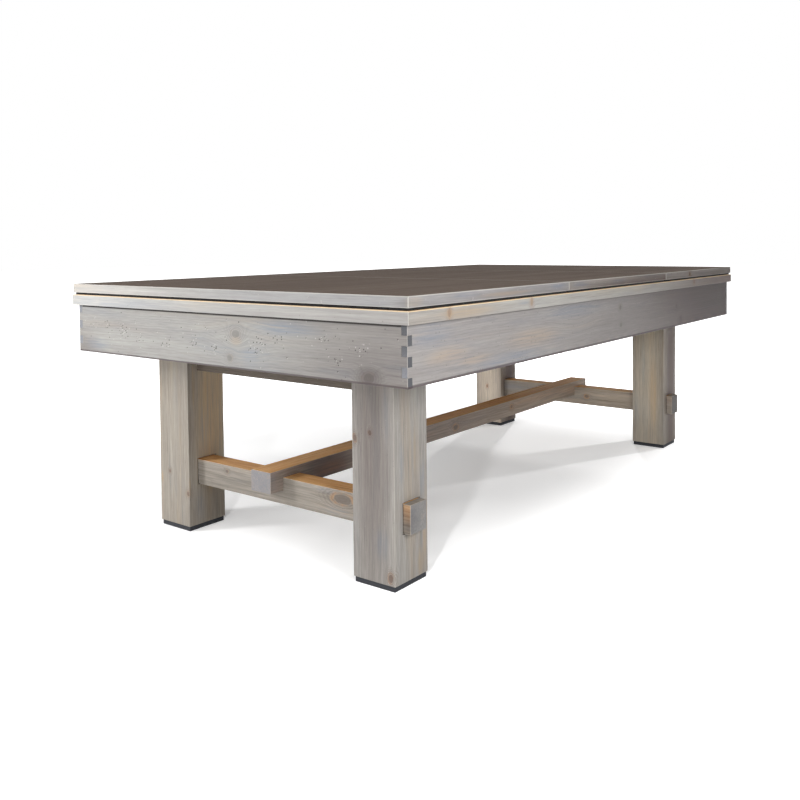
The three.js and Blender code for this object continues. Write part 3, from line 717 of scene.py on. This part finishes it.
def slateFinish():
    f = newFinish("honed_slate")
    place = f.place()
    clouds = f.noise(place, 5.0, 5.0, 0.6)
    layering = f.noise(place, 60.0, 4.0, 0.6, (1.0, 1.0, 9.0))
    stops = [(0.25, "31353a"), (0.5, "43484d"), (0.8, "5a5f63")]
    return f.coat({
        "Base Color": f.ramp(stops, clouds * 0.6 + layering * 0.4), "Roughness": 0.5 + layering * 0.25,
        "Normal": f.bump(layering, 0.0006, 0.6)})


def steelFinish():
    f = newFinish("zinc_steel")
    cloud = f.noise(f.place(), 120.0, 3.0)
    return f.coat({
        "Base Color": f.ramp([(0.3, "8c8f93"), (0.7, "b4b7ba")], cloud), "Metallic": 1.0,
        "Roughness": 0.3 + cloud * 0.2})


def footFinish():
    f = newFinish("moulded_foot")
    place = f.place()
    grit = f.noise(place, 700.0, 3.0, 0.7)
    dust = f.noise(place, 35.0, 3.0)
    stops = [(0.3, "1b1d21"), (0.6, "2b2d33"), (0.9, "46484d")]
    return f.coat({
        "Base Color": f.ramp(stops, grit * 0.4 + dust * 0.6), "Roughness": 0.68 + dust * 0.2,
        "Normal": f.bump(grit, 0.0003, 0.6)})


def feltFinish():
    f = newFinish("charcoal_felt")
    place = f.place()
    fuzz = f.noise(place, 900.0, 4.0, 0.8)
    clumps = f.noise(place, 90.0, 3.0)
    # near-black, partly its own charcoal and partly painted shade for the gap under the cover
    stops = [(0.2, "0b0b0c"), (0.6, "151517"), (1.0, "242326")]
    return f.coat({
        "Base Color": f.ramp(stops, fuzz * 0.6 + clumps * 0.4), "Roughness": 0.95,
        "Sheen Weight": 0.05, "Sheen Roughness": 0.5, "Normal": f.bump(fuzz, 0.0006, 0.8)})


def clothFinish():
    # fine twill with a soft nap
    f = newFinish("green_billiard_cloth")
    place = f.place()
    x, y = f.split(place)[:2]
    twill = ((x + y) * 5200.0).sine()
    weft = ((x - y) * 4100.0).sine()
    nap = f.noise(place, 420.0, 4.0, 0.75)
    wear = f.noise(place, 3.5, 4.0, 0.6)
    shade = 0.5 + twill * 0.07 + weft * 0.05 + (nap - 0.5) * 0.45 + (wear - 0.5) * 0.35
    return f.coat({
        "Base Color": f.ramp([(0.1, "1c4f35"), (0.5, "2b6a49"), (0.9, "3f8460")], shade), "Roughness": 0.92,
        "Sheen Weight": 0.25, "Sheen Roughness": 0.4, "Normal": f.bump(twill * 0.3 + nap, 0.0003, 0.5)})


def leatherFinish():
    f = newFinish("pocket_leather")
    place = f.place()
    pebbles = f.node("TexVoronoi", {"feature": "DISTANCE_TO_EDGE"}, {"Vector": place, "Scale": 420.0})
    creases = f.noise(place, 45.0, 5.0, 0.65)
    rubbed = f.noise(place, 14.0, 3.0)
    grain = pebbles.smooth(0.0, 0.12)
    shade = grain * 0.25 + creases * 0.45 + rubbed * 0.3
    return f.coat({
        "Base Color": f.ramp([(0.2, "24160f"), (0.5, "3f2819"), (0.85, "5b3b26")], shade),
        "Roughness": 0.42 + creases * 0.25, "Specular IOR Level": 0.45,
        "Normal": f.bump(grain * 0.5 + creases, 0.0007, 0.6)})


def threadFinish():
    f = newFinish("waxed_thread")
    twist = f.noise(f.place(), 900.0, 2.0)
    return f.coat({
        "Base Color": f.ramp([(0.3, "a98f66"), (0.7, "cdb78f")], twist), "Roughness": 0.7,
        "Normal": f.bump(twist, 0.0002, 0.8)})


def pearlFinish():
    f = newFinish("rail_sight_pearl")
    lustre = f.noise(f.place(), 160.0, 4.0, 0.6, (1.0, 1.7, 1.0))
    return f.coat({
        "Base Color": f.ramp([(0.3, "cfd2cc"), (0.5, "e9e4da"), (0.7, "d7dce0")], lustre),
        "Roughness": 0.22 + lustre * 0.1, "Coat Weight": 0.4 + lustre * 0.1})


charcoalFelt = feltFinish()
greenCloth = clothFinish()
pocketLeather = leatherFinish()
waxedThread = threadFinish()
pearl = pearlFinish()

slots = {entry["node"]: entry["material_slot"] for entry in frame["record"]["subparts"]}
plain = {"slate": slateFinish(), "bolt_steel": steelFinish(), "foot_rubber": footFinish()}
for node, slotName in slots.items():
    if slotName in plain:
        paint(node, plain[slotName])
print("stone, steel and rubber finished")


# Soft parts stand for their CAD solids

softParts = {
    "cushionRound": 0.0022, "cushionFill": 1.0, "feltRound": 0.0012, "feltFill": 0.9, "leatherRound": 0.0009,
    "clothDrop": 0.003, "clothTuck": 0.0006,
}


def addObject(name, data):
    made = bpy.data.objects.new(name, data)
    bpy.context.scene.collection.objects.link(made)
    return made


def meshObject(name, work, material):
    # the worked mesh becomes an object
    mesh = bpy.data.meshes.new(name)
    work.to_mesh(mesh)
    work.free()
    mesh.materials.append(material)
    return addObject(name, mesh)


def weldedCopy(node):
    work = bmesh.new()
    work.from_mesh(frame["nodes"][node].data)
    bmesh.ops.remove_doubles(work, verts=work.verts, dist=1e-5)
    return work


def joinFlats(work):
    bmesh.ops.dissolve_limit(work, angle_limit=math.radians(1), verts=work.verts, edges=work.edges)


def softCopy(name, node, material, softness):
    # the solid's own shape with rounded edges
    work = weldedCopy(node)
    joinFlats(work)
    piece = meshObject(name, work, material)
    bevel = piece.modifiers.new("round", "BEVEL")
    bevel.width = softness
    bevel.segments = 3
    bevel.limit_method = "ANGLE"
    bevel.angle_limit = math.radians(25)
    settle(piece)
    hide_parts(node)
    return piece


def settle(piece):
    # modifiers become mesh, and faces that meet gently are smoothed
    bpy.context.view_layer.update()
    shaped = bpy.data.meshes.new_from_object(piece.evaluated_get(bpy.context.evaluated_depsgraph_get()))
    piece.modifiers.clear()
    piece.data = shaped
    shaped.shade_smooth()
    shaped.set_sharp_from_angle(angle=math.radians(40))


for node, slotName in slots.items():
    if slotName == "cushion_cloth":
        cushion = softCopy("clothed_" + node, node, greenCloth, softParts["cushionRound"])
        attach(cushion, "table")
print("cushions wrapped")

for body in ("cover_1", "cover_2", "cover_3"):
    for node in frame["record"]["behaviour"]["bodies"][body]:
        if slots[node] == "felt":
            felt = softCopy("soft_" + node, node, charcoalFelt, softParts["feltRound"])
            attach(felt, body)
print("felts laid")


def onOuterEdge(edge, low, high):
    return any(
        all(abs(vert.co[i] - side[i]) < 1e-4 for vert in edge.verts)
        for i in (0, 1) for side in (low, high))


def bedCloth():
    # one stretched sheet whose edge turns down into each pocket
    low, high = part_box("bed_cloth")
    work = weldedCopy("bed_cloth")
    under = [face for face in work.faces if face.normal.z < 0.5]
    bmesh.ops.delete(work, geom=under, context="FACES")
    joinFlats(work)
    rim = [edge for edge in work.edges if edge.is_boundary and not onOuterEdge(edge, low, high)]
    made = bmesh.ops.extrude_edge_only(work, edges=rim)["geom"]
    for vert in (item for item in made if isinstance(item, bmesh.types.BMVert)):
        outward = Vector((vert.co.x, vert.co.y, 0)).normalized()
        vert.co.z -= softParts["clothDrop"]
        vert.co += outward * softParts["clothTuck"]
    bmesh.ops.triangulate(work, faces=[face for face in work.faces if len(face.verts) > 4])
    area = sum(face.calc_area() for face in work.faces)
    cloth = meshObject("stretched_bed_cloth", work, greenCloth)
    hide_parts("bed_cloth")
    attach(cloth, "table")
    print("bed cloth stretched, area", round(area, 3))


bedCloth()


# Leather pockets with a stitched rim; a reach is in degrees to either side of the way out

sewing = {
    "pitch": 0.0062, "length": 0.0044, "thick": 0.0006, "lean": 6, "sunk": 0.4, "belowTop": 0.006,
    "insideRim": 0.003, "cornerReach": 104, "sideReach": 98,
}


def stitchRow(node):
    low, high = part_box(node)
    centre = (low + high) / 2
    radius = (high.x - low.x) / 2 - sewing["insideRim"]
    thick = sewing["thick"]
    if abs(centre.x) > 0.1:
        outward = math.atan2(math.copysign(1, centre.y), math.copysign(1, centre.x))
        reach = math.radians(sewing["cornerReach"])
    else:
        outward = math.copysign(math.pi / 2, centre.y)
        reach = math.radians(sewing["sideReach"])
    count = int(2 * reach * radius / sewing["pitch"])
    work = bmesh.new()
    for i in range(count):
        angle = outward - reach + (i + 0.5) * 2 * reach / count
        spot = Vector((math.cos(angle), math.sin(angle), 0)) * (radius - thick * sewing["sunk"])
        place = Matrix.Translation(Vector((centre.x, centre.y, high.z - sewing["belowTop"])) + spot)
        lean = Matrix.Rotation(math.radians(sewing["lean"]), 4, "Y")
        turn = Matrix.Rotation(angle + math.pi / 2, 4, "Z") @ lean
        grow = Matrix.Diagonal((sewing["length"] / 2, thick, thick, 1))
        bmesh.ops.create_uvsphere(work, u_segments=8, v_segments=5, radius=1.0, matrix=place @ turn @ grow)
    stitches = meshObject("stitches_" + node, work, waxedThread)
    stitches.data.shade_smooth()
    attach(stitches, "table")


for node, slotName in slots.items():
    if slotName == "pocket_leather":
        pocket = softCopy("leather_" + node, node, pocketLeather, softParts["leatherRound"])
        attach(pocket, "table")
        stitchRow(node)
print("pockets sewn")


# Sights let into the rail tops, at the eighths and quarters of the playing field

sights = {"radius": 0.0055, "rise": 0.00022, "fromNose": 0.088, "steps": 24}


def addSight(work, x, y, z):
    # a low dome in three rings
    steps = sights["steps"]
    rows = []
    for width, share in ((1.0, 0.0), (0.93, 0.75), (0.6, 1.0)):
        radius = sights["radius"] * width
        rows.append([work.verts.new((
            x + radius * math.cos(2 * math.pi * i / steps),
            y + radius * math.sin(2 * math.pi * i / steps),
            z + share * sights["rise"])) for i in range(steps)])
    for outer, inner in zip(rows, rows[1:]):
        for i in range(steps):
            j = (i + 1) % steps
            work.faces.new((outer[i], outer[j], inner[j], inner[i]))
    work.faces.new(rows[-1])
    work.faces.new(list(reversed(rows[0])))


def railSights():
    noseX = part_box("cushion_foot")[0].x
    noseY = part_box("cushion_left_a")[0].y
    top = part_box("rail_left")[1].z
    farX = noseX + sights["fromNose"]
    farY = noseY + sights["fromNose"]
    eighths = [noseX * step / 4 for step in (-3, -2, -1, 1, 2, 3)]
    quarters = [noseY * step / 2 for step in (-1, 0, 1)]
    rows = {
        "left": [(x, farY) for x in eighths], "right": [(x, -farY) for x in eighths],
        "head": [(-farX, y) for y in quarters], "foot": [(farX, y) for y in quarters],
    }
    for name, places in rows.items():
        work = bmesh.new()
        for x, y in places:
            addSight(work, x, y, top)
        row = meshObject("sights_" + name, work, pearl)
        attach(row, "table")


railSights()
print("rail sights set")


# Floor, light and camera. Near the table the floor is as the lamps leave it, and further off it glows white
# to the camera: shadow holds the middle and the half size of the part that doesn't glow, and the width over
# which the glow comes up.

studio = {
    "floorTone": 0.5, "floorSeen": 0.9, "floorLift": 0.2, "floorSize": 60.0, "sky": 1.08,
    "shadow": {"middle": (0.0, 0.45, 0.0), "half": (1.0, 0.75, 9.0), "width": 0.8},
    "lamps": {
        "key": {"at": (-3.0, 2.0, 1.65), "to": (-1.0, 0.0, 0.55), "size": (0.6, 0.9), "power": 42.5},
        "side": {"at": (-5.5, 4.4, 2.0), "to": (-1.0, 0.0, 0.5), "size": (1.2, 1.6), "power": 69},
        "sweep": {"at": (-8.0, -0.6, 1.0), "to": (0.0, 0.0, 0.4), "size": (3.4, 1.0), "power": 156},
        "fill": {"at": (-1.45, -2.2, 1.2), "to": (-0.75, -0.6, 0.6), "size": (1.0, 0.8), "power": 28},
    },
    "floorLamps": {
        "front": {"at": (-3.6, -1.7, 1.0), "to": (0.0, 0.0, 0.0), "size": (0.14, 0.14), "power": 82},
        "farLeft": {"at": (3.9, 1.45, 0.8), "to": (0.0, 0.0, 0.0), "size": (0.14, 0.14), "power": 82},
        "farRight": {"at": (3.5, -1.7, 0.8), "to": (0.0, 0.0, 0.0), "size": (0.14, 0.14), "power": 82},
    },
}
view = {
    "place": (-2.9187, -1.9806, 0.9728), "heading": 53.629, "tilt": -1.8271, "roll": -0.5186,
    "lens": 38.447, "shift": (-0.03125, -0.1625),
}
white = (1.0, 1.0, 1.0, 1.0)


def seenDirectly(f):
    # by the camera, or in a mirror or through glass
    path = f.node("LightPath")
    return path.most(path.also("Is Glossy Ray")).most(path.also("Is Transmission Ray"))


def floorFinish():
    # a pale floor, which the camera sees as white wherever no shadow falls
    f = newFinish("studio_floor")
    shadow = studio["shadow"]
    seen = seenDirectly(f)
    offset = f.vector("ABSOLUTE", f.vector("SUBTRACT", f.place(), shadow["middle"]))
    beside = f.vector("MAXIMUM", f.vector("SUBTRACT", offset, shadow["half"]), (0.0, 0.0, 0.0))
    away = f.vector("LENGTH", beside, take="Value").smooth(0.0, shadow["width"])
    lift = (studio["floorLift"] + away * (1.0 - studio["floorLift"])) * seen
    litTone, seenTone = [(studio[key],) * 3 + (1.0,) for key in ("floorTone", "floorSeen")]
    pale = f.node("BsdfDiffuse", sockets={"Color": f.mix(litTone, seenTone, seen)})
    glow = f.node("Emission", sockets={"Color": white, "Strength": lift})
    return f.close(f.node("AddShader", sockets={0: pale, 1: glow}))


def makeFloor():
    work = bmesh.new()
    bmesh.ops.create_grid(work, x_segments=4, y_segments=4, size=studio["floorSize"] / 2)
    floor = meshObject("floor", work, floorFinish())
    floor.location.z = cadBox[0].z
    return floor


def makeLamps(floor):
    # the second lot lights the floor alone, so that its shadows cross under the table
    floorOnly = bpy.data.collections.new("floor_only")
    floorOnly.objects.link(floor)
    for name, lamp in (studio["lamps"] | studio["floorLamps"]).items():
        data = bpy.data.lights.new(name, "AREA")
        data.shape = "RECTANGLE"
        data.size, data.size_y = lamp["size"]
        data.energy = lamp["power"]
        light = addObject(name, data)
        light.location = lamp["at"]
        light.visible_camera = False
        light.rotation_euler = (Vector(lamp["to"]) - Vector(lamp["at"])).to_track_quat("-Z", "Y").to_euler()
        if name in studio["floorLamps"]:
            light.light_linking.receiver_collection = floorOnly


def makeWorld():
    # soft light from above for the object, white behind it for the camera
    f = Finish(bpy.data.worlds.new("studio"))
    seen = seenDirectly(f)
    up = f.split(f.place())[2].smooth(0.3, 1.0)
    strength = up * studio["sky"] * (1 - seen) + seen
    sky = f.node("Background", sockets={"Color": white, "Strength": strength})
    bpy.context.scene.world = f.close(sky, "World")


def makeCamera():
    data = bpy.data.cameras.new("camera")
    data.lens = view["lens"]
    data.shift_x, data.shift_y = view["shift"]
    camera = addObject("camera", data)
    heading = Matrix.Rotation(-math.radians(view["heading"]), 4, "Z")
    tilt = Matrix.Rotation(math.radians(90 + view["tilt"]), 4, "X")
    roll = Matrix.Rotation(math.radians(view["roll"]), 4, "Z")
    camera.matrix_world = Matrix.Translation(view["place"]) @ heading @ tilt @ roll
    bpy.context.scene.camera = camera


makeLamps(makeFloor())
makeWorld()
makeCamera()
bpy.context.scene.view_settings.view_transform = "Standard"
print("studio ready")
